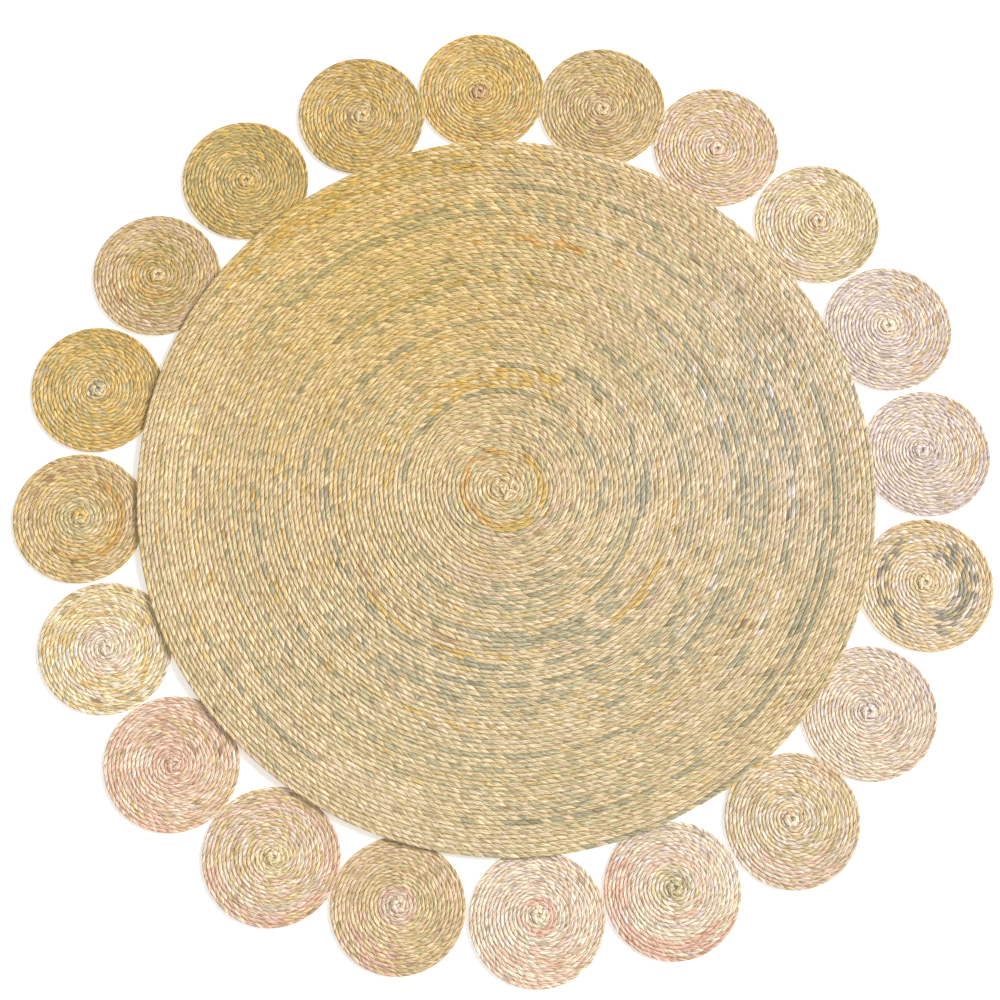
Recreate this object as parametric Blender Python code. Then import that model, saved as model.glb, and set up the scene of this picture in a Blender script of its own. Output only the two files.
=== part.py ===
"""A round floor mat of palm-leaf cord: one large coil with a ring of twenty small coils round it.

The centre coil is one cord wound clockwise from the middle and sewn turn to turn, and its turns
stand up as ridges. Its rim lies on the inner edges of the small coils, which rest on the floor.
Metres, +Z up. The origin is under the middle of the centre coil, on the floor.
"""

import math

import bmesh
import bpy

TAU = 2 * math.pi
MM = 0.001

# The centre coil: its cord is as thick as the distance from one turn to the next.
CENTRE_CORD = 0.00698
CENTRE_TURNS = 80
FIRST_TURN = 0.5
GROOVE_DEPTH = 0.0021
CORD_END_ANGLE = math.radians(-61)

# The turns of the centre coil aren't quite concentric with its rim: (their radius in mm, how far
# their middle lies off the middle of the mat along x and along y in mm).
DRIFT = [
    (0, -10.5, -2.5),
    (120, -5.0, -2.5),
    (400, -4.5, -2.2),
    (520, -3.0, -1.3),
    (558, 0.0, 0.0),
]

# The small coils are of a finer cord.
RIM_CORD = 0.0058
RIM_COIL_SEGMENTS = 32
EDGE_ROUNDING = 0.35 * RIM_CORD

# Pieces that lie on or beside each other keep this gap.
GAP = 0.0003

# The centre coil is flat out to the first radius and has climbed onto the small coils at the second.
LIFT_START = 0.455
LIFT_END = 0.536
LIFT = RIM_CORD + GAP
UNDERSIDE_RINGS = 5

# Sides of one turn of the centre coil, from each turn outwards: (first turn, sides).
SIDES_BY_TURN = [
    (0, 10),
    (6, 20),
    (30, 40),
]

# The rim of the centre coil stands a little out of round: (angle in degrees, half width in degrees,
# height in mm). The wobble dies out inwards over WOBBLE_DEPTH.
RIM_WOBBLE = [
    (97, 22, 3.5),
    (203, 26, 3.2),
]
WOBBLE_DEPTH = 0.16

# The small coils, clockwise from the top: (angle in degrees, distance from the middle in mm,
# radius in mm).
RIM_COILS = [
    (93.3, 654.6, 100.2),
    (76.1, 648.3, 100.6),
    (59.0, 655.4, 100.4),
    (41.2, 655.9, 99.3),
    (23.3, 651.2, 100.7),
    (4.9, 650.0, 99.2),
    (-13.4, 654.0, 102.7),
    (-32.7, 641.5, 101.7),
    (-50.4, 655.6, 100.6),
    (-68.5, 650.6, 101.1),
    (-86.4, 646.6, 99.6),
    (-104.4, 647.8, 98.6),
    (-121.8, 655.1, 100.8),
    (-139.5, 649.6, 100.1),
    (-157.3, 648.6, 99.8),
    (-175.4, 648.1, 100.0),
    (166.5, 647.2, 99.4),
    (148.2, 640.4, 98.5),
    (129.6, 645.0, 99.2),
    (110.7, 650.9, 100.2),
]

# Base colour and roughness of each cord.
CENTRE_COLOUR = (0.62, 0.46, 0.22, 1.0)
RIM_COLOUR = (0.66, 0.49, 0.27, 1.0)
PALM_ROUGHNESS = 0.62


def clear_scene():
    for leftover in list(bpy.data.objects):
        bpy.data.objects.remove(leftover, do_unlink=True)


def palm_material(name, colour):
    """Dry palm leaf: a matt to satin surface with no metal in it."""
    material = bpy.data.materials.new(name)
    material.use_nodes = True
    shader = material.node_tree.nodes["Principled BSDF"]
    shader.inputs["Base Color"].default_value = colour
    shader.inputs["Roughness"].default_value = PALM_ROUGHNESS
    shader.inputs["Metallic"].default_value = 0.0
    material.diffuse_color = colour
    return material


def object_from(mesh_builder, name, material, collection, parent):
    """A closed body with its faces pointing out, named for its sub-part."""
    bmesh.ops.recalc_face_normals(mesh_builder, faces=mesh_builder.faces)
    mesh = bpy.data.meshes.new(name)
    mesh_builder.to_mesh(mesh)
    mesh_builder.free()
    mesh.materials.append(material)
    piece = bpy.data.objects.new(name, mesh)
    collection.objects.link(piece)
    piece.parent = parent
    return piece


def smooth_step(low, high, value):
    share = min(1.0, max(0.0, (value - low) / (high - low)))
    return share * share * (3 - 2 * share)


def turn_between(angle, other):
    """The angle from one direction to another, from minus half a turn to half a turn."""
    return (angle - other + math.pi) % TAU - math.pi


def lift_at(radius):
    """How far the centre coil stands off the floor."""
    return LIFT * smooth_step(LIFT_START, LIFT_END, radius)


def wobble_at(radius, angle):
    """How far the centre coil bulges outwards, near its rim."""
    outward = 0.0
    for centre_deg, half_width_deg, height_mm in RIM_WOBBLE:
        away = abs(turn_between(angle, math.radians(centre_deg))) / math.radians(half_width_deg)
        if away < 1:
            outward += height_mm * MM * 0.5 * (1 + math.cos(math.pi * away))
    rim = CENTRE_TURNS * CENTRE_CORD
    return outward * smooth_step(rim - WOBBLE_DEPTH, rim, radius)


def drift_at(radius):
    """How far the middle of the turns at a radius lies off the middle of the mat, along x and y."""
    for (low_mm, *low), (high_mm, *high) in zip(DRIFT, DRIFT[1:]):
        if radius < high_mm * MM:
            share = (radius - low_mm * MM) / ((high_mm - low_mm) * MM)
            return [(start + (end - start) * share) * MM for start, end in zip(low, high)]
    return [end * MM for end in DRIFT[-1][1:]]


def centre_point(turns, radius, height):
    """A point of the centre coil: turns along its cord, at a radius and at a height over its underside."""
    angle = CORD_END_ANGLE + TAU * (CENTRE_TURNS - turns)
    reach = radius + wobble_at(radius, angle)
    aside_x, aside_y = drift_at(radius)
    x = reach * math.cos(angle) + aside_x
    y = reach * math.sin(angle) + aside_y
    return (x, y, lift_at(radius) + height)


def places_along_cord():
    """Where the cord's corners are, in turns from the middle: more corners a turn further out."""
    places = [FIRST_TURN]
    while places[-1] < CENTRE_TURNS - 1e-6:
        sides = max(count for first, count in SIDES_BY_TURN if first <= places[-1] + 1e-6)
        places.append(places[-1] + 1 / sides)
    return places


def bridge(builder, inner, outer):
    """Triangles between two rows of (place, corner), with the nearer next corner taken first."""
    i = o = 0
    while i + 1 < len(inner) or o + 1 < len(outer):
        inner_left = i + 1 < len(inner)
        outer_left = o + 1 < len(outer)
        if inner_left and (not outer_left or inner[i + 1][0] <= outer[o + 1][0] + 1e-6):
            builder.faces.new((inner[i][1], inner[i + 1][1], outer[o][1]))
            i += 1
        else:
            builder.faces.new((inner[i][1], outer[o + 1][1], outer[o][1]))
            o += 1


def build_centre_coil(material, collection, parent):
    """The spiral of ridges and grooves on top, a rounded rim, and a flat underside with a raised edge."""
    builder = bmesh.new()
    cord = CENTRE_CORD
    places = places_along_cord()

    def row(from_turn, to_turn, radius_in_turns, height):
        """Corners along the cord, each with its place, at so many turns' width further out."""
        corners = []
        for turns in places:
            if from_turn - 1e-6 <= turns <= to_turn + 1e-6:
                radius = cord * (turns + radius_in_turns)
                corners.append((turns, builder.verts.new(centre_point(turns, radius, height))))
        return corners

    def part_of(corners, from_turn, to_turn, shift=0):
        return [
            (turns + shift, corner)
            for turns, corner in corners
            if from_turn - 1e-6 <= turns <= to_turn + 1e-6
        ]

    first, last = FIRST_TURN, CENTRE_TURNS
    groove = row(first, last, 0.0, cord - GROOVE_DEPTH)
    crest = row(first, last, 0.5, cord)
    bridge(builder, groove, crest)
    bridge(builder, part_of(crest, first, last - 1), part_of(groove, first + 1, last, shift=-1))

    # The middle, where the cord starts.
    eye = [corner for _, corner in part_of(groove, first, first + 1)] + [crest[0][1]]
    middle = builder.verts.new((*drift_at(0), cord))
    for here, following in zip(eye, eye[1:] + eye[:1]):
        builder.faces.new((here, following, middle))

    # The rounded outer side of the last turn, and the cut end of the cord.
    top = part_of(crest, last - 1, last)
    side = row(last - 1, last, 1.0, cord / 2)
    foot = row(last - 1, last, 0.5, 0.0)
    bridge(builder, top, side)
    bridge(builder, side, foot)
    end_face = [top[0], groove[-1], top[-1], side[-1], foot[-1], foot[0], side[0]]
    builder.faces.new([corner for _, corner in end_face])

    # The underside: down from the rim to the flat part that lies on the floor.
    outer = foot
    for step in range(UNDERSIDE_RINGS):
        share = step / (UNDERSIDE_RINGS - 1)
        radius = LIFT_END + (LIFT_START - LIFT_END) * share
        ring = [
            (turns, builder.verts.new(centre_point(turns, radius, 0.0)))
            for turns, _ in foot[:-1]
        ]
        closed = ring + [(last, ring[0][1])]
        bridge(builder, closed, outer)
        if outer is foot:
            builder.faces.new((foot[-1][1], foot[0][1], ring[0][1]))
        outer = closed
    builder.faces.new([corner for _, corner in ring])

    bmesh.ops.triangulate(builder, faces=builder.faces)
    return object_from(builder, "centre_coil", material, collection, parent)


def rim_coil_outline(index):
    """The outline of a small coil: round, but pressed flat where it meets a neighbour."""
    angle_deg, distance_mm, radius_mm = RIM_COILS[index]
    centre = place_of_rim_coil(index)
    radius = radius_mm * MM
    flats = []
    for neighbour in (index - 1, (index + 1) % len(RIM_COILS)):
        other = place_of_rim_coil(neighbour)
        apart = math.dist(centre, other)
        shared = (apart + radius - RIM_COILS[neighbour][2] * MM - GAP) / 2
        flats.append((math.atan2(other[1] - centre[1], other[0] - centre[0]), shared))
    outline = []
    for corner in range(RIM_COIL_SEGMENTS):
        angle = math.radians(angle_deg) + TAU * corner / RIM_COIL_SEGMENTS
        reach = radius
        for direction, shared in flats:
            facing = math.cos(angle - direction)
            if facing > 0:
                reach = min(reach, shared / facing)
        outline.append((angle, reach))
    return outline


def place_of_rim_coil(index):
    angle_deg, distance_mm, _ = RIM_COILS[index]
    angle = math.radians(angle_deg)
    return (distance_mm * MM * math.cos(angle), distance_mm * MM * math.sin(angle))


def build_rim_coil(index, material, collection, parent):
    """A small coil: a flat round as thick as its cord, with a rounded edge."""
    builder = bmesh.new()
    rings = []
    for inset, height in ((EDGE_ROUNDING, 0.0), (0.0, RIM_CORD / 2), (EDGE_ROUNDING, RIM_CORD)):
        rings.append(
            [
                builder.verts.new(
                    ((reach - inset) * math.cos(angle), (reach - inset) * math.sin(angle), height)
                )
                for angle, reach in rim_coil_outline(index)
            ]
        )
    for lower, upper in zip(rings, rings[1:]):
        for corner in range(RIM_COIL_SEGMENTS):
            builder.faces.new(
                (lower[corner - 1], lower[corner], upper[corner], upper[corner - 1])
            )
    builder.faces.new(rings[0])
    builder.faces.new(rings[-1])
    bmesh.ops.triangulate(builder, faces=builder.faces)
    piece = object_from(builder, f"rim_coil_{index + 1:02d}", material, collection, parent)
    piece.location = (*place_of_rim_coil(index), 0.0)
    return piece


def build_mat():
    clear_scene()
    collection = bpy.data.collections.new("palm_leaf_mat")
    bpy.context.scene.collection.children.link(collection)
    base = bpy.data.objects.new("mat_base", None)
    collection.objects.link(base)
    centre_material = palm_material("centre_cord", CENTRE_COLOUR)
    rim_material = palm_material("rim_cord", RIM_COLOUR)
    build_centre_coil(centre_material, collection, base)
    for index in range(len(RIM_COILS)):
        build_rim_coil(index, rim_material, collection, base)


build_mat()
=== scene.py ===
"""The looks of a round mat of palm-leaf cord: one wide coil with twenty small coils round it.

Every coil is one long two-ply cord, wound clockwise from its eye and sewn flat, with each bend of
each strand modelled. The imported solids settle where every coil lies. Metres, +Z up.
"""

import math
import random

import bmesh
import bpy
import numpy as np
from mathutils import Matrix, Vector


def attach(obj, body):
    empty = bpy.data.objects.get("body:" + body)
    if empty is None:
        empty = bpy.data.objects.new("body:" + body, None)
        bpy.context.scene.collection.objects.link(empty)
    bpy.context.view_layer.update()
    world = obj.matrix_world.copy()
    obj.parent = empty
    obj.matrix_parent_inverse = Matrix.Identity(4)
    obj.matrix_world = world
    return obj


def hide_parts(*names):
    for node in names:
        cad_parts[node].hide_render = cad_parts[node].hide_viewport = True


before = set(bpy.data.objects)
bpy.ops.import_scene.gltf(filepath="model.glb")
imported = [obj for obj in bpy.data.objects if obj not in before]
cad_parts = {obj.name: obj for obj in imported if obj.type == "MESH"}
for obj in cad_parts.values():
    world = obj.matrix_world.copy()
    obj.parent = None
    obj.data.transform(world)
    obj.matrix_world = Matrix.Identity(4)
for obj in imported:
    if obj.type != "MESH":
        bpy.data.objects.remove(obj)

TAU = 2 * math.pi
MM = 0.001
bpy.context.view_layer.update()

# The widths of the two cords, the centre coil's turns and where its cord ends, as in the solids.
CENTRE_CORD = 0.00698
CENTRE_TURNS = 80
CENTRE_RIM = CENTRE_CORD * CENTRE_TURNS
CORD_END_ANGLE = math.radians(-61)
RIM_CORD = 0.0058
GAP = 0.0003

# The cord's end is tucked in over its last part of a turn: inwards and down, in cord widths.
TUCKED_TURNS = 0.045
TUCKED_IN = 0.9
TUCKED_DOWN = 0.18

# Between these radii the centre coil climbs onto the small coils.
LIFT_START = 0.455
LIFT_END = 0.536
LIFT = RIM_CORD + GAP

# The rim bulges at two places: (direction and half width in degrees, bulge in mm). The turns bulge
# with it to this depth.
RIM_WOBBLE = [
    (97, 22, 3.5),
    (203, 26, 3.2),
]
WOBBLE_DEPTH = 0.16

# The turns waver by this much for each of a few waves: (fewest and most lobes round the coil), (least
# and greatest turning per metre outwards). They don't at the eye or at the rim.
WAVER = 0.00033
WAVERS = 6
WAVER_LOBES = (2, 7)
WAVER_TURNING = (60, 190)
WAVER_FROM = (0.01, 0.05)
WAVER_TO = (0.48, CENTRE_RIM)

# The turns aren't quite concentric with the rim: (their radius in mm, how far their middle lies off
# the middle of the mat along x and along y in mm).
DRIFT = [
    (0, -10.5, -2.5),
    (120, -5.0, -2.5),
    (400, -4.5, -2.2),
    (520, -3.0, -1.3),
    (558, 0.0, 0.0),
]

# A small coil's last turn closes into the one before it over this share of a turn. Its turns are
# pressed flat towards its neighbours from a share of its radius outwards, and its eye may lie off its
# middle as far out as another share. Places that face a neighbour less than this aren't pressed.
CLOSING = 0.15
PRESSED_FROM = 0.45
ASIDE_TO = 0.85
LEAST_FACING = 0.01

# The centre coil's cord is three meshes, parted at these radii.
CENTRE_PARTINGS = [0.0, 0.3465, 0.441, 0.5635]

# A cord's section, in cord widths, from its outer side over the top and back underneath: (outward,
# height, share of one wrap of a strand, how much of the strand's relief shows there, how much painted
# shade darkens the row's edge there).
CORD_SECTION = [
    (0.50, 0.80, 0.000, 0.6, 0.5),
    (0.46, 1.00, 0.060, 1.0, 0.0),
    (0.12, 0.98, 0.140, 1.0, 0.0),
    (-0.22, 0.93, 0.225, 1.0, 0.0),
    (-0.50, 0.84, 0.310, 0.8, 0.3),
    (-0.12, 0.05, 0.520, 0.0, 0.0),
    (0.12, 0.05, 0.800, 0.0, 0.0),
]

OUTWARD, HEIGHT, SHARE, SHOWING, PAINTED_EDGE_SHADE = (np.array(column) for column in zip(*CORD_SECTION))
CORNERS = len(CORD_SECTION)

# One bend of a strand, along the cord: (share of its length, height). It starts in the groove behind
# the bend before it, rises steeply and falls away gently.
BEND_PROFILE = [
    (0.00, 0.00),
    (0.07, 1.00),
    (0.50, 0.95),
    (0.92, 0.70),
]
ALONG, RISE = (np.array(column) for column in zip(*BEND_PROFILE))
LINES = len(BEND_PROFILE)

# In cord widths: a bend's length, how deep the groove behind it is on top, and at the sides, which
# start so far from the middle.
BEND_LENGTH = 2.35
BEND_RELIEF = 0.08
GROOVE_INSET = 0.05
SIDES_FROM = 0.3

# How uneven the bends are in place and in relief, and how high the cut ends of a mesh stand.
BEND_UNEVENNESS = 0.16
RELIEF_UNEVENNESS = 0.25
END_RIDGE = 0.6
SPARE_BENDS = 4

# The fibres of a strand run nearly along the cord: they cross this share of a wrap in one bend. The
# map that they lie on, in cord widths: one wrap, one bend and the step from a bend to the next.
FIBRE_LEAN = 0.23
WRAP_LENGTH = 5.5
STRAND_WIDTH = 1.3
STRAND_STEP = 1.7

# The map of a whole coil, in a unit square: middle and radius of the coil seen from above and from
# below, and the lower left corner and the size of the first of the cells for the folded strands.
TOP_MAP = (0.41, 0.40)
UNDER_MAP = (0.83, 0.16)
FOLD_MAP = (0.01, 0.84)
FOLD_CELL = 0.05
CELLS_ACROSS = 3
TOP_FACES = 4

# Near the eye the bends are shorter: so many are squeezed in, over so many.
EYE_SQUEEZE = 5.0
EYE_SQUEEZE_OVER = 18.0

# Colours of dry palm leaf, as sRGB.
TONES = {
    "ivory": (242, 227, 201),
    "shell": (234, 219, 196),
    "cream": (234, 213, 171),
    "butter": (233, 217, 172),
    "straw": (229, 207, 160),
    "tan": (224, 200, 153),
    "honey": (227, 199, 138),
    "gold": (224, 192, 117),
    "orange": (223, 181, 110),
    "brown": (206, 172, 128),
    "rose": (229, 202, 167),
    "blush": (235, 206, 182),
    "pink": (230, 193, 170),
    "lilac": (227, 213, 204),
    "sage": (213, 199, 152),
    "olive": (204, 184, 122),
    "slate": (196, 186, 149),
    "ink": (183, 175, 141),
    "smoke": (164, 158, 142),
}

# Painted light on the centre coil: paler and bluer towards the key light at the right, yellower at the
# top left away from it, and a little paler towards the bottom: (x, y and reach in mm, tint).
PAINTED_LIGHT_TINTS = [
    (-220, 350, 290, (0.98, 0.91, 0.62)),
    (430, 150, 280, (1.02, 1.07, 1.30)),
    (0, -400, 450, (0.98, 1.02, 1.09)),
]

# How uneven the leaf is from bend to bend: in lightness and in warmth.
SHADE_UNEVENNESS = 0.035
WARMTH_UNEVENNESS = 0.03
PALEST = 0.95

# Painted shade: how much of each colour is kept in the creases between bends and at the row edges.
CREASE_PAINTED_SHADE = (0.42, 0.33, 0.22)

# The dark and the pale fibres, beside the leaf's tone.
DARK_FIBRE = (0.55, 0.48, 0.38)
PALE_FIBRE = (1.28, 1.31, 1.42)
FIBRES_PER_METRE = (450, 200, 1)

# Seeds of the random draws: the centre coil's, and the one that the small coils' count on from.
CENTRE_SEED = 11
SMALL_SEED = 100

# Mixes of tones: how often a strand takes each.
MIXES = {
    "centre": {"straw": 40, "cream": 20, "tan": 18, "sage": 14, "slate": 5, "rose": 4, "honey": 4},
    "gold": {"gold": 50, "honey": 20, "olive": 16, "tan": 10, "orange": 4},
    "tan": {"tan": 44, "honey": 24, "straw": 14, "olive": 10, "brown": 8},
    "peach": {"blush": 34, "shell": 22, "straw": 22, "tan": 22},
    "straw": {"butter": 60, "shell": 20, "sage": 10, "ivory": 10},
    "lilac": {"lilac": 64, "shell": 22, "ivory": 14},
    "pale": {"shell": 50, "ivory": 20, "lilac": 16, "blush": 14},
    "sand": {"cream": 32, "shell": 30, "straw": 20, "tan": 18},
    "dun": {"tan": 36, "cream": 24, "rose": 22, "straw": 12, "sage": 6},
    "chalk": {"shell": 40, "cream": 30, "ivory": 10, "rose": 10, "sage": 10},
    "mist": {"sage": 45, "shell": 35, "slate": 20},
    "rose": {"blush": 50, "pink": 15, "shell": 20, "tan": 15},
    "green": {"sage": 44, "straw": 30, "olive": 12, "cream": 14},
    "olive": {"gold": 40, "honey": 26, "olive": 24, "sage": 10},
    "bronze": {"gold": 46, "olive": 44, "honey": 10},
}

# A strand keeps its tone for so many of its bends, but for this share of strays.
TONE_RUN = (4, 15)
STRAYS = 0.16

# How frayed the bands are: at their sides, as a share of the coil's radius, and at their ends.
FRAYED_SIDE = 0.0025
FRAYED_END_DEG = 4

# Bands of one tone on the centre coil, later rows over earlier ones: (from and to as shares of the
# rim's radius, from and to in degrees, strand or None for both, tone, share of the bends there).
CENTRE_BANDS = [
    (0.05, 0.10, -60, 30, None, "sage", 0.5),
    (0.30, 0.95, 145, 215, None, "tan", 0.2),
    (0.30, 0.95, 145, 215, None, "honey", 0.14),
    (0.09, 0.114, 95, 270, None, "orange", 0.85),
    (0.095, 0.122, -100, 60, None, "gold", 0.7),
    (0.125, 0.16, -120, 60, 1, "rose", 0.6),
    (0.125, 0.145, -60, 30, 0, "brown", 0.5),
    (0.24, 0.30, -120, -90, None, "rose", 0.5),
    (0.25, 0.28, -90, 0, 1, "slate", 0.5),
    (0.255, 0.268, -10, 60, None, "slate", 0.7),
    (0.268, 0.282, 60, 180, None, "ink", 0.75),
    (0.285, 0.35, 65, 140, None, "gold", 0.45),
    (0.30, 0.345, 70, 135, 0, "orange", 0.2),
    (0.30, 0.35, 140, 180, 0, "gold", 0.4),
    (0.325, 0.336, -120, -90, None, "ink", 0.75),
    (0.351, 0.359, 60, 120, None, "ink", 0.7),
    (0.36, 0.37, -60, 30, None, "ink", 0.75),
    (0.378, 0.392, -10, 60, None, "ink", 0.75),
    (0.40, 0.455, -90, -30, None, "slate", 0.5),
    (0.405, 0.425, -120, -60, None, "slate", 0.6),
    (0.43, 0.45, 60, 180, 1, "slate", 0.6),
    (0.444, 0.455, -180, -90, None, "brown", 0.5),
    (0.455, 0.465, 60, 140, 0, "gold", 0.7),
    (0.465, 0.48, -140, -90, None, "gold", 0.6),
    (0.465, 0.48, -60, 0, None, "gold", 0.6),
    (0.484, 0.496, -180, 0, None, "ink", 0.75),
    (0.486, 0.495, 0, 60, None, "ink", 0.6),
    (0.484, 0.496, 90, 180, None, "ink", 0.75),
    (0.54, 0.55, -120, -60, None, "ink", 0.75),
    (0.54, 0.55, 150, 180, None, "ink", 0.75),
    (0.555, 0.565, -40, 0, None, "ink", 0.75),
    (0.565, 0.60, -150, -30, 1, "slate", 0.6),
    (0.575, 0.595, -130, -90, 0, "slate", 0.6),
    (0.60, 0.611, 65, 135, None, "olive", 0.9),
    (0.61, 0.63, -60, 60, 1, "slate", 0.6),
    (0.61, 0.63, -60, 60, 0, "shell", 0.5),
    (0.628, 0.636, 0, 90, None, "ink", 0.75),
    (0.651, 0.659, -60, 60, None, "ink", 0.75),
    (0.65, 0.67, -120, -80, None, "gold", 0.25),
    (0.672, 0.69, -180, -120, 0, "gold", 0.5),
    (0.672, 0.69, -180, -120, 1, "ink", 0.5),
    (0.70, 0.72, -30, 60, 1, "slate", 0.6),
    (0.71, 0.75, 66, 90, None, "orange", 0.35),
    (0.73, 0.742, -75, -55, None, "ink", 0.7),
    (0.78, 0.795, -45, 80, None, "ink", 0.75),
    (0.78, 0.795, -45, 80, 0, "shell", 0.5),
    (0.796, 0.806, 90, 150, None, "slate", 0.7),
    (0.815, 0.825, 10, 50, None, "ink", 0.75),
    (0.868, 0.882, -30, 0, None, "ink", 0.75),
    (0.872, 0.884, 60, 90, None, "ink", 0.75),
    (0.888, 0.90, -150, -120, None, "ink", 0.75),
    (0.90, 0.912, -90, 30, None, "ink", 0.75),
    (0.92, 1.00, 90, 140, None, "gold", 0.4),
    (0.92, 1.00, 95, 135, 0, "olive", 0.5),
    (0.988, 0.998, -76, -48, None, "ink", 0.8),
    (0.999, 1.01, -61, -48, None, "gold", 0.5),
]

# The small coils, clockwise from the top: (mix, mix at the eye, how far out that reaches, how far
# the eye lies off the coil's middle along x and y in mm, shade).
SMALL_COILS = [
    ("gold", "gold", 0.3, -5, -1, 1.03),
    ("tan", "tan", 0.3, -1, -4, 0.95),
    ("peach", "peach", 0.3, 0, -4, 1.0),
    ("straw", "peach", 0.25, 2, 4, 1.0),
    ("lilac", "lilac", 0.25, 0, 5, 1.0),
    ("lilac", "lilac", 0.3, -8, 5, 1.0),
    ("sand", "sand", 0.3, -3, 4, 0.99),
    ("pale", "pale", 0.3, -2, 2, 1.01),
    ("chalk", "chalk", 0.3, -3, 2, 0.99),
    ("pale", "mist", 0.35, 2, 3, 1.09),
    ("pale", "pale", 0.2, 1, 5, 1.11),
    ("dun", "rose", 0.3, 0, 2, 1.02),
    ("peach", "straw", 0.3, 2, 0, 1.06),
    ("rose", "rose", 0.3, 2, 0, 1.11),
    ("straw", "pale", 0.4, 2, 0, 1.12),
    ("tan", "green", 0.35, 0, 2, 1.02),
    ("olive", "green", 0.2, 0, 0, 1.05),
    ("tan", "gold", 0.4, 0, 0, 0.97),
    ("bronze", "gold", 0.25, 0, 0, 0.98),
    ("gold", "tan", 0.3, 0, 0, 0.97),
]

# Bands on the small coils: (coil, then as for the centre coil, with shares of the coil's radius).
SMALL_BANDS = [
    (1, 0.00, 0.16, 0, 360, None, "brown", 0.7),
    (2, 0.40, 0.70, 120, 300, 1, "brown", 0.5),
    (4, 0.30, 1.00, -90, 90, 0, "sage", 0.4),
    (4, 0.00, 1.00, 90, 270, 1, "blush", 0.4),
    (5, 0.30, 1.00, -60, 90, None, "rose", 0.25),
    (6, 0.50, 1.00, -60, 60, None, "rose", 0.3),
    (7, 0.42, 0.78, -80, 70, 1, "smoke", 0.8),
    (7, 0.50, 0.66, -60, 40, 0, "ink", 0.6),
    (7, 0.58, 0.80, 110, 240, 0, "smoke", 0.7),
    (8, 0.30, 1.00, 120, 300, 0, "ivory", 0.5),
    (9, 0.60, 1.00, 225, 315, None, "blush", 0.6),
    (10, 0.70, 1.00, 150, 330, None, "pink", 0.8),
    (11, 0.18, 0.27, 0, 360, None, "pink", 0.9),
    (11, 0.60, 1.00, 220, 320, None, "blush", 0.6),
    (12, 0.50, 1.00, 180, 270, None, "pink", 0.3),
    (12, 0.30, 0.80, -60, 120, 1, "sage", 0.25),
    (13, 0.80, 1.00, 180, 400, None, "pink", 0.6),
    (14, 0.00, 0.80, 90, 270, 0, "pink", 0.5),
    (15, 0.40, 1.00, 0, 360, 0, "honey", 0.2),
    (16, 0.58, 0.66, -120, 60, None, "orange", 0.8),
    (16, 0.00, 0.12, 0, 360, None, "gold", 0.7),
    (17, 0.00, 0.12, 0, 360, None, "ink", 0.7),
    (18, 0.72, 1.00, 0, 360, 0, "rose", 0.5),
    (18, 0.20, 0.60, 30, 150, None, "olive", 0.5),
    (19, 0.24, 0.42, 60, 240, None, "olive", 0.9),
    (20, 0.30, 1.00, -60, 60, 0, "tan", 0.4),
]

# The folded strands over the eye of the centre coil: (distance from the eye in mm, place round it and
# direction in degrees, length and width in mm, tone).
KNOT = [
    (2, 20, 70, 14, 6.5, "straw"),
    (5, 140, 190, 15, 6.5, "tan"),
    (5, 260, 290, 14, 7.0, "cream"),
    (14, 335, 350, 18, 8.5, "cream"),
    (14, 290, 240, 18, 8.0, "cream"),
    (14, 30, 80, 18, 8.0, "cream"),
    (15, 80, 170, 18, 7.5, "straw"),
    (14, 150, 230, 18, 8.0, "tan"),
    (15, 210, 310, 18, 8.0, "straw"),
]
KNOT_SHIFT = 0.004

# A folded strand is a flattened ball: its thickness, its corners round and from end to end, how high
# it lies in cord widths and how uneven that is, how fast its ridge height rises above its middle,
# which leaves its lower half in painted shade, and how its fibres are stretched.
FOLD_THICKNESS = 0.0042
FOLD_SIDES = 10
FOLD_STEPS = 6
FOLD_LEVEL = 0.94
FOLD_UNEVENNESS = 0.0005
FOLD_RIDGE = 1.2
FOLD_FIBRES = (1.7, 0.55)
FOLD_STEP = 0.1

# The folds over the eye of a small coil: how many, distance from the eye, length and width in mm, how
# far each is turned from its place round the eye and how uneven that is, in degrees. Their tones are
# those of the cord's first bends.
SMALL_FOLDS = 5
FOLD_AWAY = 7
FOLD_LENGTH = 16
FOLD_WIDTH = 8
FOLD_TURN = 65
FOLD_TURN_UNEVENNESS = 14
FOLD_TONES = 12

# The camera looks down from a little towards the near side, and is turned.
CAMERA_LENS = 70.49
SENSOR_WIDTH = 36
CAMERA_TILT = math.radians(13.901)
CAMERA_TURN = math.radians(7.582)
CAMERA_DISTANCE = 2.987
CAMERA_AIM = (-0.00832, -0.02119)

FLOOR_SIZE = 14
FLOOR_BELOW = 0.0004


def smooth_step(low, high, value):
    share = np.clip((value - low) / (high - low), 0.0, 1.0)
    return share * share * (3 - 2 * share)


def turn_between(angle, other):
    """The angle from one direction to another, from minus half a turn to half a turn."""
    return (angle - other + math.pi) % TAU - math.pi


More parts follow.
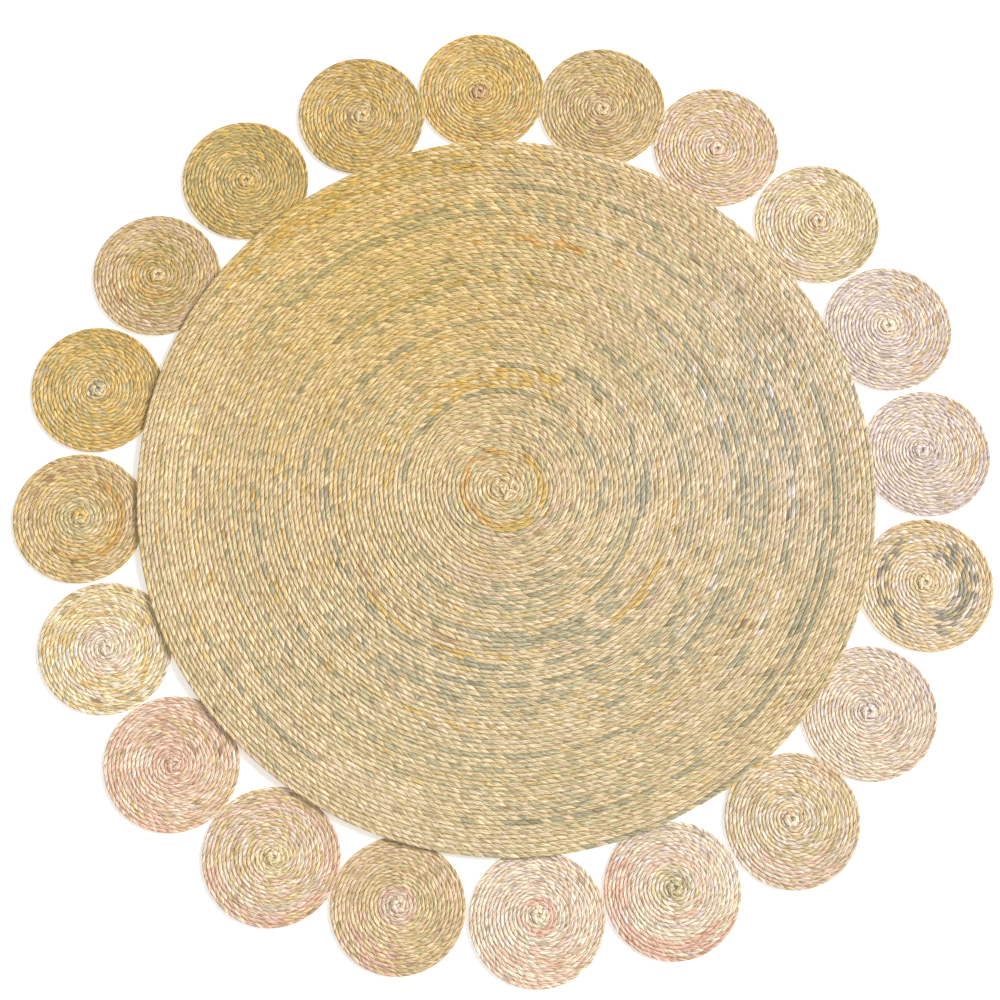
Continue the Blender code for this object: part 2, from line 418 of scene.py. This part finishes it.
class CentreCoil:
    """Where the wide coil's cord runs. It has climbed onto the small coils at its rim."""

    cord = CENTRE_CORD
    turns = CENTRE_TURNS
    painted_light = PAINTED_LIGHT_TINTS
    centre = (0.0, 0.0)

    def __init__(self, rng):
        self.waver = [
            (rng.uniform(0, TAU), rng.randint(*WAVER_LOBES), rng.uniform(*WAVER_TURNING))
            for _ in range(WAVERS)
        ]

    def place(self, turns, outward, height):
        """Corners at so many turns from the eye, moved outwards and up by so many cord widths."""
        angle = CORD_END_ANGLE + TAU * (CENTRE_TURNS - turns)
        radius = self.cord * (turns + 0.5 + outward)
        tucked = self.cord * smooth_step(CENTRE_TURNS - TUCKED_TURNS, CENTRE_TURNS, turns)
        reach = radius - TUCKED_IN * tucked + self.bulge_at(radius, angle) + self.waver_at(radius, angle)
        drift_radius, drift_x, drift_y = (np.array(column) * MM for column in zip(*DRIFT))
        x = reach * np.cos(angle) + np.interp(radius, drift_radius, drift_x)
        y = reach * np.sin(angle) + np.interp(radius, drift_radius, drift_y)
        lift = LIFT * smooth_step(LIFT_START, LIFT_END, radius)
        z = lift + self.cord * height - TUCKED_DOWN * tucked
        return np.stack((x, y, z), axis=-1)

    def bulge_at(self, radius, angle):
        """How far the rim's bulges push a turn outwards."""
        outward = 0.0
        for centre_deg, half_width_deg, height_mm in RIM_WOBBLE:
            away = np.abs(turn_between(angle, math.radians(centre_deg))) / math.radians(half_width_deg)
            outward = outward + height_mm * MM * 0.5 * (1 + np.cos(math.pi * np.minimum(away, 1)))
        return outward * smooth_step(CENTRE_RIM - WOBBLE_DEPTH, CENTRE_RIM, radius)

    def waver_at(self, radius, angle):
        """The turns aren't laid quite evenly."""
        inside = smooth_step(*WAVER_FROM, radius) * (1 - smooth_step(*WAVER_TO, radius))
        shift = 0.0
        for phase, lobes, wave in self.waver:
            shift = shift + np.sin(lobes * angle + wave * radius + phase)
        return WAVER * inside * shift

    def polar(self, turns):
        """Radius and direction of the cord's middle after so many turns."""
        radius = self.cord * (turns + 0.5)
        angle = CORD_END_ANGLE + TAU * (CENTRE_TURNS - turns)
        return radius, angle


class SmallCoil:
    """Where a small coil's cord runs: pressed flat against its neighbours, its end under the rim."""

    cord = RIM_CORD
    painted_light = []

    def __init__(self, places, index, eye_shift):
        self.centre, self.radius = places[index]
        self.eye_shift = eye_shift
        self.end_angle = math.atan2(-self.centre[1], -self.centre[0])
        self.turns = self.radius / self.cord - 0.5
        self.flats = []
        for neighbour in (index - 1, (index + 1) % len(places)):
            other, other_radius = places[neighbour]
            apart = math.dist(self.centre, other)
            shared = (apart + self.radius - other_radius - GAP) / 2
            direction = math.atan2(other[1] - self.centre[1], other[0] - self.centre[0])
            self.flats.append((direction, shared))

    def outline_at(self, angle):
        """How far out the coil's pressed outline lies."""
        reach = np.full_like(angle, self.radius)
        for direction, shared in self.flats:
            facing = np.maximum(np.cos(angle - direction), LEAST_FACING)
            reach = np.minimum(reach, shared / facing)
        return reach

    def place(self, turns, outward, height):
        """Corners at so many turns from the eye, moved outwards and up by so many cord widths."""
        angle = self.end_angle + TAU * (self.turns - turns)
        radius = self.cord * (turns + 0.5 + outward)
        round_turn = (self.turns - turns) % 1.0
        done = 1.0 - round_turn
        step = 0.5 * (smooth_step(1 - CLOSING, 1.0, done) - 1 + smooth_step(0.0, CLOSING, done))
        rim = self.outline_at(angle) + self.cord * step
        unpressed = self.cord * (self.turns + done)
        pressed = 1 + smooth_step(PRESSED_FROM, 1.0, radius / self.radius) * (rim / unpressed - 1)
        aside = 1 - smooth_step(0.0, ASIDE_TO, radius / self.radius)
        x = self.centre[0] + radius * pressed * np.cos(angle) + self.eye_shift[0] * aside
        y = self.centre[1] + radius * pressed * np.sin(angle) + self.eye_shift[1] * aside
        z = self.cord * height
        return np.stack((x, y, z), axis=-1)

    def polar(self, turns):
        radius = self.cord * (turns + 0.5)
        angle = self.end_angle + TAU * (self.turns - turns)
        return radius, angle


def turns_at(length, cord):
    """How many turns a spiral has made after a length of its cord."""
    return (np.sqrt(1 + 4 * np.maximum(length, 0) / (math.pi * cord)) - 1) / 2


def length_at(turns, cord):
    """The length of a spiral's cord after so many turns."""
    return math.pi * cord * (turns * turns + turns)


def length_of_bends(bends, cord):
    """The cord's length after so many bends of its strands."""
    squeezed = EYE_SQUEEZE * (1 - np.exp(-bends / EYE_SQUEEZE_OVER))
    return BEND_LENGTH * cord * (bends - squeezed)


def bends_in(length, cord):
    """How many bends a length of cord has."""
    return int(length / (BEND_LENGTH * cord) + EYE_SQUEEZE)


def bend_tones(rng, bends, mix):
    """A tone for each bend: the two strands take turns, and each keeps a tone for a run of bends."""
    names = list(MIXES[mix])
    weights = list(MIXES[mix].values())
    tones = [names[0]] * bends
    for strand in (0, 1):
        bend = strand
        while bend < bends:
            run_tone = rng.choices(names, weights)[0]
            for _ in range(rng.randint(*TONE_RUN)):
                if bend < bends:
                    own = rng.random() > STRAYS
                    tones[bend] = run_tone if own else rng.choices(names, weights)[0]
                bend += 2
    return tones


def lay_bands(rng, tones, coil, bands, rim):
    """Puts the bands of one tone over the mix, with frayed edges."""
    for bend in range(len(tones)):
        turns = float(turns_at(length_of_bends(bend + 0.5, coil.cord), coil.cord))
        radius, angle = coil.polar(turns)
        share = radius / rim + rng.gauss(0, FRAYED_SIDE)
        degrees = math.degrees(angle) + rng.gauss(0, FRAYED_END_DEG)
        for inner, outer, start, end, strand, tone, chance in bands:
            if inner <= share < outer and (degrees - start) % 360 < end - start:
                if (strand is None or strand == bend % 2) and rng.random() < chance:
                    tones[bend] = tone


def linear(srgb):
    """An sRGB colour of 0 to 255 as linear shares."""
    return [(c / 255 / 12.92) if c <= 10 else ((c / 255 + 0.055) / 1.055) ** 2.4 for c in srgb]


def tone_colours(rng, tones, coil, shade_all=1.0):
    """Linear colours of the bends, each a little lighter or darker than its tone, with painted light by
    place.
    """
    table = {name: np.array(linear(srgb)) for name, srgb in TONES.items()}
    bends = np.arange(len(tones)) + 0.5
    level = np.zeros(len(tones))
    spots = coil.place(turns_at(length_of_bends(bends, coil.cord), coil.cord), level, level)
    tint = np.full((len(tones), 3), shade_all)
    # Painted light: paler towards the key light at the right, yellower away from it.
    for x_mm, y_mm, reach_mm, full_tint in coil.painted_light:
        away = np.hypot(spots[:, 0] - x_mm * MM, spots[:, 1] - y_mm * MM) / (reach_mm * MM)
        tint = tint * (1 + (np.array(full_tint) - 1) * np.exp(-away * away)[:, None])
    colours = []
    for tone in tones:
        shade = 1 + rng.gauss(0, SHADE_UNEVENNESS)
        warmth = np.array([1, 1, 1 + rng.gauss(0, WARMTH_UNEVENNESS)])
        colours.append(table[tone] * shade * warmth)
    return np.clip(np.array(colours) * tint, 0.0, PALEST)


def cord_corners(coil, first, last, rng, bend_count):
    """Places and ridge heights of the cord's corners from one bend to another, as a grid with a ring
    at either end.

    Column i, corner j of the grid lies along the cord at column i plus corner j's share of a wrap,
    so a line of corners winds round the cord as a strand does, and meets itself a wrap further on.
    """
    # Bend boundaries and heights, uneven but the same wherever two meshes of one cord meet.
    drawn = range(bend_count + SPARE_BENDS)
    shifts = np.array([rng.gauss(0, BEND_UNEVENNESS) for _ in drawn])
    reliefs = np.array([1 + rng.gauss(0, RELIEF_UNEVENNESS) for _ in drawn])

    columns = np.arange((first - 2) * LINES, last * LINES + 1)
    bend = columns // LINES
    line = columns % LINES
    shift = shifts[bend] * (1 - ALONG[line]) + shifts[bend + 1] * ALONG[line]
    bends_at = (bend + ALONG[line] + shift)[:, None] + 2 * SHARE
    before = bends_at < first
    after = bends_at > last
    turns = turns_at(length_of_bends(np.clip(bends_at, first, last), coil.cord), coil.cord)

    ridge = (RISE[line] * reliefs[bend])[:, None] * np.ones(CORNERS)
    ridge[before | after] = END_RIDGE
    drop = BEND_RELIEF * SHOWING * (1 - ridge)
    inset = np.sign(OUTWARD) * GROOVE_INSET * (1 - ridge) * (np.abs(OUTWARD) > SIDES_FROM)
    spots = coil.place(turns, OUTWARD - inset, HEIGHT - drop).reshape(-1, 3)

    # Corners past either end share the ring that closes it.
    start_ring = len(spots) + np.arange(CORNERS)
    end_ring = start_ring + CORNERS
    index = np.arange(len(spots)).reshape(bends_at.shape)
    index = np.where(before, start_ring, index)
    index = np.where(after, end_ring, index)
    end_drop = BEND_RELIEF * SHOWING * (1 - END_RIDGE)
    for limit in (first, last):
        turn = turns_at(length_of_bends(np.full(CORNERS, float(limit)), coil.cord), coil.cord)
        spots = np.concatenate((spots, coil.place(turn, OUTWARD, HEIGHT - end_drop)))
    # The ridge heights are lowered at the row edges, where the material paints shade in the creases.
    ridges = np.concatenate(((ridge * (1 - PAINTED_EDGE_SHADE)).ravel(), np.full(2 * CORNERS, END_RIDGE)))
    return spots, ridges, index, start_ring, end_ring


def cord_faces(index, start_ring, end_ring):
    """The faces between neighbouring lines, and those at the ends: (corners, column, place in the
    section, which corners of the whole four-sided face these are)."""
    wrap = 2 * LINES
    following = np.full((len(index), CORNERS + 1), -1)
    following[:, :CORNERS] = index

    # The last corner of the section meets the first one a wrap further on.
    following[:-wrap, CORNERS] = index[wrap:, 0]
    following[-wrap:, CORNERS] = end_ring[0]
    column, corner = np.meshgrid(np.arange(len(index) - 1), np.arange(CORNERS), indexing="ij")
    column, corner = column.ravel(), corner.ravel()
    quads = np.stack(
        (
            following[column, corner],
            following[column, corner + 1],
            following[column + 1, corner + 1],
            following[column + 1, corner],
        ),
        axis=1,
    )
    faces = []
    for quad, i, j in zip(quads.tolist(), column.tolist(), corner.tolist()):
        kept = [k for k in range(4) if quad[k] != quad[k - 1]]
        shape = [quad[k] for k in kept]
        if len(set(shape)) >= 3:
            faces.append((shape, i, j, kept))
    one_place = [0] * CORNERS
    faces.append((start_ring.tolist()[::-1], wrap, 0, one_place))
    faces.append((end_ring.tolist(), len(index) - 2, 0, one_place))
    return faces


def leaf_colours(faces, bend_of, colours):
    """The colour at each corner of each face, which is that of its bend."""
    leaf = []
    for shape, i, _, _ in faces:
        colour = colours[min(max(bend_of(i), 0), len(colours) - 1)]
        leaf.extend((*colour, 1.0) * len(shape))
    return leaf


def fibre_places(faces, bend_of, cord):
    """Where each corner of each face lies on the map of the fibres."""
    share_next = [*SHARE[1:], 1.0]
    along_next = [*ALONG[1:], 1.0]
    places = []
    for _, i, j, kept in faces:
        bend = bend_of(i)
        line = i % LINES
        square = (
            (SHARE[j], ALONG[line]),
            (share_next[j], ALONG[line]),
            (share_next[j], along_next[line]),
            (SHARE[j], along_next[line]),
        )
        for share, along in (square[k] for k in kept):
            places.append((share - FIBRE_LEAN * along) * WRAP_LENGTH * cord)
            places.append((bend * STRAND_STEP + along) * STRAND_WIDTH * cord)
    return places


def whole_places(faces, spots, middle):
    """Where each corner of each face lies on the map of the whole coil."""
    shapes = [shape for shape, _, _, _ in faces]
    on_top = np.repeat([j < TOP_FACES for _, _, j, _ in faces], [len(shape) for shape in shapes])
    spread = spots[np.concatenate(shapes), :2] - np.array(middle)
    spread = spread / np.hypot(spread[:, 0], spread[:, 1]).max()
    above = TOP_MAP[0] + TOP_MAP[1] * spread
    below = UNDER_MAP[0] + UNDER_MAP[1] * spread
    return np.where(on_top[:, None], above, below).ravel().tolist()


def cord_mesh(name, coil, first, last, rng, colours):
    """The cord from one bend to another as a closed mesh whose lines follow the strands."""
    spots, ridges, index, start_ring, end_ring = cord_corners(coil, first, last, rng, len(colours))
    faces = cord_faces(index, start_ring, end_ring)

    def bend_of(column):
        return first - 2 + column // LINES

    mesh = bpy.data.meshes.new(name)
    used, compact = np.unique(np.concatenate([face[0] for face in faces]), return_inverse=True)
    mesh.from_pydata(spots[used].tolist(), [], split_like(compact.tolist(), faces))
    mesh.polygons.foreach_set("use_smooth", [True] * len(faces))
    leaf = mesh.color_attributes.new("leaf", "FLOAT_COLOR", "CORNER")
    leaf.data.foreach_set("color", leaf_colours(faces, bend_of, colours))
    fibres = mesh.uv_layers.new(name="fibres")
    fibres.data.foreach_set("uv", fibre_places(faces, bend_of, coil.cord))
    whole = mesh.uv_layers.new(name="OFBake")
    whole.data.foreach_set("uv", whole_places(faces, spots, coil.centre))
    ridge = mesh.attributes.new("ridge", "FLOAT", "POINT")
    ridge.data.foreach_set("value", ridges[used].tolist())
    mesh.validate()
    return mesh


def folds_round_eye(rng, tones):
    """Rows like those of KNOT for a small coil."""
    rows = []
    for number in range(SMALL_FOLDS):
        around = 360 * number / SMALL_FOLDS + rng.uniform(-FOLD_TURN_UNEVENNESS, FOLD_TURN_UNEVENNESS)
        facing = around + FOLD_TURN + rng.uniform(-FOLD_TURN_UNEVENNESS, FOLD_TURN_UNEVENNESS)
        rows.append((FOLD_AWAY, around, facing, FOLD_LENGTH, FOLD_WIDTH, rng.choice(tones)))
    return rows


def add_knot(piece, coil, rng, strands, eye_x, eye_y):
    """Short folded strands that cover the first turn, as part of the same mesh."""
    builder = bmesh.new()
    builder.from_mesh(piece.data)
    leaf = builder.loops.layers.float_color["leaf"]
    fibres = builder.loops.layers.uv["fibres"]
    whole = builder.loops.layers.uv["OFBake"]
    ridge = builder.verts.layers.float["ridge"]
    level = coil.cord * FOLD_LEVEL
    across_fibres, along_fibres = FOLD_FIBRES
    for number, (distance, around, facing, length, width, tone) in enumerate(strands):
        out = Vector((distance * MM, 0, 0))
        out.rotate(Matrix.Rotation(math.radians(around), 3, "Z"))
        middle = Vector((eye_x, eye_y, level + rng.uniform(-1, 1) * FOLD_UNEVENNESS))
        turn = Matrix.Rotation(math.radians(facing), 3, "Z")
        size = Vector((length * MM / 2, width * MM / 2, FOLD_THICKNESS / 2))
        strand = bmesh.ops.create_uvsphere(
            builder, u_segments=FOLD_SIDES, v_segments=FOLD_STEPS, radius=1.0
        )
        colour = tone_colours(rng, [tone], coil)[0]
        along = {}
        unit = {}
        for corner in strand["verts"]:
            unit[corner] = ((corner.co.x + 1) / 2, (corner.co.y + 1) / 2)
            local = Vector([share * half for share, half in zip(corner.co, size)])
            along[corner] = (local.y * across_fibres, local.x * along_fibres + number * FOLD_STEP)
            # Painted shade: the lower half of each fold takes the crease tint, as if shaded where it
            # lies on the cord.
            corner[ridge] = max(0.0, corner.co.z) * FOLD_RIDGE
            corner.co = middle + out + turn @ local
        for face in {face for corner in strand["verts"] for face in corner.link_faces}:
            face.smooth = True
            under = face.calc_center_median().z < middle.z
            for loop in face.loops:
                loop[leaf] = (*colour, 1.0)
                loop[fibres].uv = along[loop.vert]
                x, y = unit[loop.vert]
                loop[whole].uv = (
                    FOLD_MAP[0] + FOLD_CELL * (number % CELLS_ACROSS + (x + under) / 2),
                    FOLD_MAP[1] + FOLD_CELL * (number // CELLS_ACROSS + y),
                )
    builder.to_mesh(piece.data)
    builder.free()


def split_like(flat, faces):
    """Cuts a flat list of corners back into faces."""
    result = []
    start = 0
    for face in faces:
        result.append(flat[start:start + len(face[0])])
        start += len(face[0])
    return result


def add_piece(name, mesh, material):
    mesh.materials.append(material)
    piece = bpy.data.objects.new(name, mesh)
    bpy.context.scene.collection.objects.link(piece)
    return piece


def node(tree, kind, **values):
    """A shader node, with values for its properties or for its inputs by name."""
    made = tree.nodes.new(kind)
    for key, value in values.items():
        if hasattr(made, key):
            setattr(made, key, value)
        else:
            made.inputs[key.replace("_", " ").title()].default_value = value
    return made


def socket(sockets, name, kind="VECTOR"):
    """The input or output of a name and kind, where a node has several of that name."""
    return next(one for one in sockets if one.name == name and one.type == kind)


def ranged(tree, value, from_min, from_max, to_min, to_max):
    """A value of one range, moved to another and kept inside it."""
    made = node(tree, "ShaderNodeMapRange", from_min=from_min, from_max=from_max, to_min=to_min,
                to_max=to_max)
    tree.links.new(value, made.inputs["Value"])
    return made.outputs["Result"]


def tint_between(tree, low, high, share):
    """A tint that goes from one to another as the share goes from 0 to 1."""
    made = node(tree, "ShaderNodeMix", data_type="VECTOR")
    socket(made.inputs, "A").default_value = low
    socket(made.inputs, "B").default_value = high
    tree.links.new(share, socket(made.inputs, "Factor", "VALUE"))
    return socket(made.outputs, "Result")


def combined(tree, operation, colour, other):
    """A colour times another, or scaled by a value."""
    made = node(tree, "ShaderNodeVectorMath", operation=operation)
    tree.links.new(colour, made.inputs[0])
    tree.links.new(other, made.inputs["Scale"] if operation == "SCALE" else made.inputs[1])
    return made.outputs["Vector"]


def fibre_noise(tree):
    """Fine streaks along the fibres."""
    fibre_map = node(tree, "ShaderNodeUVMap", uv_map="fibres")
    stretch = node(tree, "ShaderNodeMapping", vector_type="POINT")
    stretch.inputs["Scale"].default_value = FIBRES_PER_METRE
    tree.links.new(fibre_map.outputs["UV"], stretch.inputs["Vector"])
    made = node(tree, "ShaderNodeTexNoise", noise_dimensions="2D", scale=1.0, detail=1.0,
                roughness=0.6)
    tree.links.new(stretch.outputs["Vector"], made.inputs["Vector"])
    return made.outputs["Fac"]


def cloud_noise(tree):
    """Wide soft patches, a little lighter or darker."""
    place = node(tree, "ShaderNodeTexCoord")
    made = node(tree, "ShaderNodeTexNoise", scale=14.0, detail=3.0)
    tree.links.new(place.outputs["Object"], made.inputs["Vector"])
    return made.outputs["Fac"]


def palm_material(name):
    """Dry palm leaf: fine fibres along each strand, painted shade in the grooves, with a light sheen."""
    material = bpy.data.materials.new(name)
    material.use_nodes = True
    tree = material.node_tree
    shader = tree.nodes["Principled BSDF"]
    leaf = node(tree, "ShaderNodeAttribute", attribute_name="leaf")
    ridge = node(tree, "ShaderNodeAttribute", attribute_name="ridge")
    fibres = fibre_noise(tree)

    # Painted shade: the creases between the bends and at the row edges are darker and browner, where
    # shade would fall.
    out_of_painted_shade = ranged(tree, ridge.outputs["Fac"], 0.0, 0.6, 0.0, 1.0)
    painted_crease_shade = tint_between(tree, CREASE_PAINTED_SHADE, (1.0, 1.0, 1.0), out_of_painted_shade)
    paler = ranged(tree, fibres, 0.36, 0.64, 0.0, 1.0)
    streak = tint_between(tree, DARK_FIBRE, PALE_FIBRE, paler)
    cloud = ranged(tree, cloud_noise(tree), 0.3, 0.7, 0.96, 1.04)
    colour = combined(tree, "MULTIPLY", leaf.outputs["Color"], painted_crease_shade)
    colour = combined(tree, "MULTIPLY", colour, streak)
    colour = combined(tree, "SCALE", colour, cloud)
    tree.links.new(colour, shader.inputs["Base Color"])

    rough = ranged(tree, fibres, 0.3, 0.7, 0.36, 0.60)
    tree.links.new(rough, shader.inputs["Roughness"])
    bump = node(tree, "ShaderNodeBump", strength=0.6, distance=0.0006)
    tree.links.new(fibres, bump.inputs["Height"])
    tree.links.new(bump.outputs["Normal"], shader.inputs["Normal"])
    shader.inputs["Specular IOR Level"].default_value = 0.5
    return material


def coil_places():
    """Centre and radius of each small coil, from its solid's corners nearest and farthest from the
    middle of the mat."""
    places = []
    for number in range(1, len(SMALL_COILS) + 1):
        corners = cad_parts[f"rim_coil_{number:02d}"].data.vertices
        flat = [(corner.co.x, corner.co.y) for corner in corners]
        near = min(flat, key=lambda spot: math.hypot(*spot))
        far = max(flat, key=lambda spot: math.hypot(*spot))
        centre = ((near[0] + far[0]) / 2, (near[1] + far[1]) / 2)
        places.append((centre, math.dist(near, far) / 2))
    return places


def build_centre(material):
    """The centre coil's cord, parted into three rings, with the folded strands over its eye."""
    rng = random.Random(CENTRE_SEED)
    coil = CentreCoil(rng)
    bends = bends_in(length_at(coil.turns, coil.cord), coil.cord)
    tones = bend_tones(rng, bends, "centre")
    lay_bands(rng, tones, coil, CENTRE_BANDS, CENTRE_RIM)
    colours = tone_colours(rng, tones, coil)
    seed = rng.random()
    partings = [
        bends_in(length_at(radius / coil.cord - 0.5, coil.cord), coil.cord)
        for radius in CENTRE_PARTINGS[1:-1]
    ]
    limits = [0, *partings, bends]
    for part, (inner, outer) in enumerate(zip(CENTRE_PARTINGS, CENTRE_PARTINGS[1:])):
        first, last = limits[part], limits[part + 1]
        name = f"centre_cord_{part + 1}"
        mesh = cord_mesh(name, coil, first, last, random.Random(seed), colours)
        piece = add_piece(name, mesh, material)
        if part == 0:
            _, eye_x, eye_y = DRIFT[0]
            add_knot(piece, coil, rng, KNOT, eye_x * MM + KNOT_SHIFT, eye_y * MM)
        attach(piece, "root")
        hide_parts("centre_coil")


def build_small_coils(material):
    """The cord of each small coil, with the folded strands over its eye."""
    places = coil_places()
    for index, (mix, eye_mix, eye_reach, eye_x, eye_y, shade) in enumerate(SMALL_COILS):
        rng = random.Random(SMALL_SEED + index)
        coil = SmallCoil(places, index, (eye_x * MM, eye_y * MM))
        bends = bends_in(length_at(coil.turns, coil.cord), coil.cord)
        tones = bend_tones(rng, bends, mix)
        eye_tones = bend_tones(rng, bends, eye_mix)
        eye_bends = int(bends * eye_reach ** 2)
        tones[:eye_bends] = eye_tones[:eye_bends]
        bands = [band for number, *band in SMALL_BANDS if number == index + 1]
        lay_bands(rng, tones, coil, bands, coil.radius)
        colours = tone_colours(rng, tones, coil, shade)
        name = f"small_cord_{index + 1:02d}"
        mesh = cord_mesh(name, coil, 0, bends, rng, colours)
        piece = add_piece(name, mesh, material)
        spot_x, spot_y, _ = coil.place(0.0, -0.5, 0.0).tolist()
        add_knot(piece, coil, rng, folds_round_eye(rng, tones[:FOLD_TONES]), spot_x, spot_y)
        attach(piece, "root")
        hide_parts(f"rim_coil_{index + 1:02d}")


def add_stage():
    """A plain pale floor, a soft key light from the right and a pale sky."""
    bpy.ops.mesh.primitive_plane_add(size=FLOOR_SIZE, location=(0, 0, -FLOOR_BELOW))
    floor = bpy.context.object
    floor.name = "floor"
    material = bpy.data.materials.new("floor_white")
    material.use_nodes = True
    shader = material.node_tree.nodes["Principled BSDF"]
    shader.inputs["Base Color"].default_value = (0.94, 0.94, 0.94, 1)
    shader.inputs["Roughness"].default_value = 0.9
    shader.inputs["Emission Color"].default_value = (1, 1, 1, 1)
    shader.inputs["Emission Strength"].default_value = 0.42
    floor.data.materials.append(material)

    add_area("key_light", azimuth=17, elevation=43, distance=20.0, size=10.0, power=4200,
             colour=(1.0, 0.97, 0.94))

    world = bpy.data.worlds.new("soft_sky")
    world.use_nodes = True
    sky = world.node_tree.nodes["Background"]
    sky.inputs["Color"].default_value = (1.0, 0.97, 0.92, 1)
    sky.inputs["Strength"].default_value = 0.465
    bpy.context.scene.world = world


def add_area(name, azimuth, elevation, distance, size, power, colour):
    """A round light that faces the middle of the mat from an azimuth and an elevation in degrees."""
    light = bpy.data.lights.new(name, "AREA")
    light.shape = "DISK"
    light.size = size
    light.energy = power
    light.color = colour
    lamp = bpy.data.objects.new(name, light)
    azimuth, elevation = math.radians(azimuth), math.radians(elevation)
    direction = Vector(
        (
            math.cos(azimuth) * math.cos(elevation),
            math.sin(azimuth) * math.cos(elevation),
            math.sin(elevation),
        )
    )
    lamp.location = direction * distance
    lamp.rotation_euler = direction.to_track_quat("Z", "Y").to_euler()
    bpy.context.scene.collection.objects.link(lamp)


def add_camera():
    """Nearly overhead, a little towards the near side, and turned."""
    tilt, turn = CAMERA_TILT, CAMERA_TURN
    turned = Matrix.Rotation(-turn, 3, "Z")
    right = turned @ Vector((1, 0, 0))
    up = turned @ Vector((0, math.cos(tilt), math.sin(tilt)))
    back = turned @ Vector((0, -math.sin(tilt), math.cos(tilt)))
    image_right = math.cos(turn) * right + math.sin(turn) * up
    image_up = math.cos(turn) * up - math.sin(turn) * right
    aim = turned @ Vector((*CAMERA_AIM, 0))
    camera = bpy.data.cameras.new("camera")
    camera.lens = CAMERA_LENS
    camera.sensor_width = SENSOR_WIDTH
    holder = bpy.data.objects.new("camera", camera)
    rotation = Matrix((image_right, image_up, back)).transposed()
    holder.matrix_world = Matrix.Translation(aim + back * CAMERA_DISTANCE) @ rotation.to_4x4()
    bpy.context.scene.collection.objects.link(holder)
    bpy.context.scene.camera = holder


add_camera()
build_centre(palm_material("centre_palm"))
build_small_coils(palm_material("rim_palm"))
add_stage()
bpy.context.scene.view_settings.view_transform = "Standard"
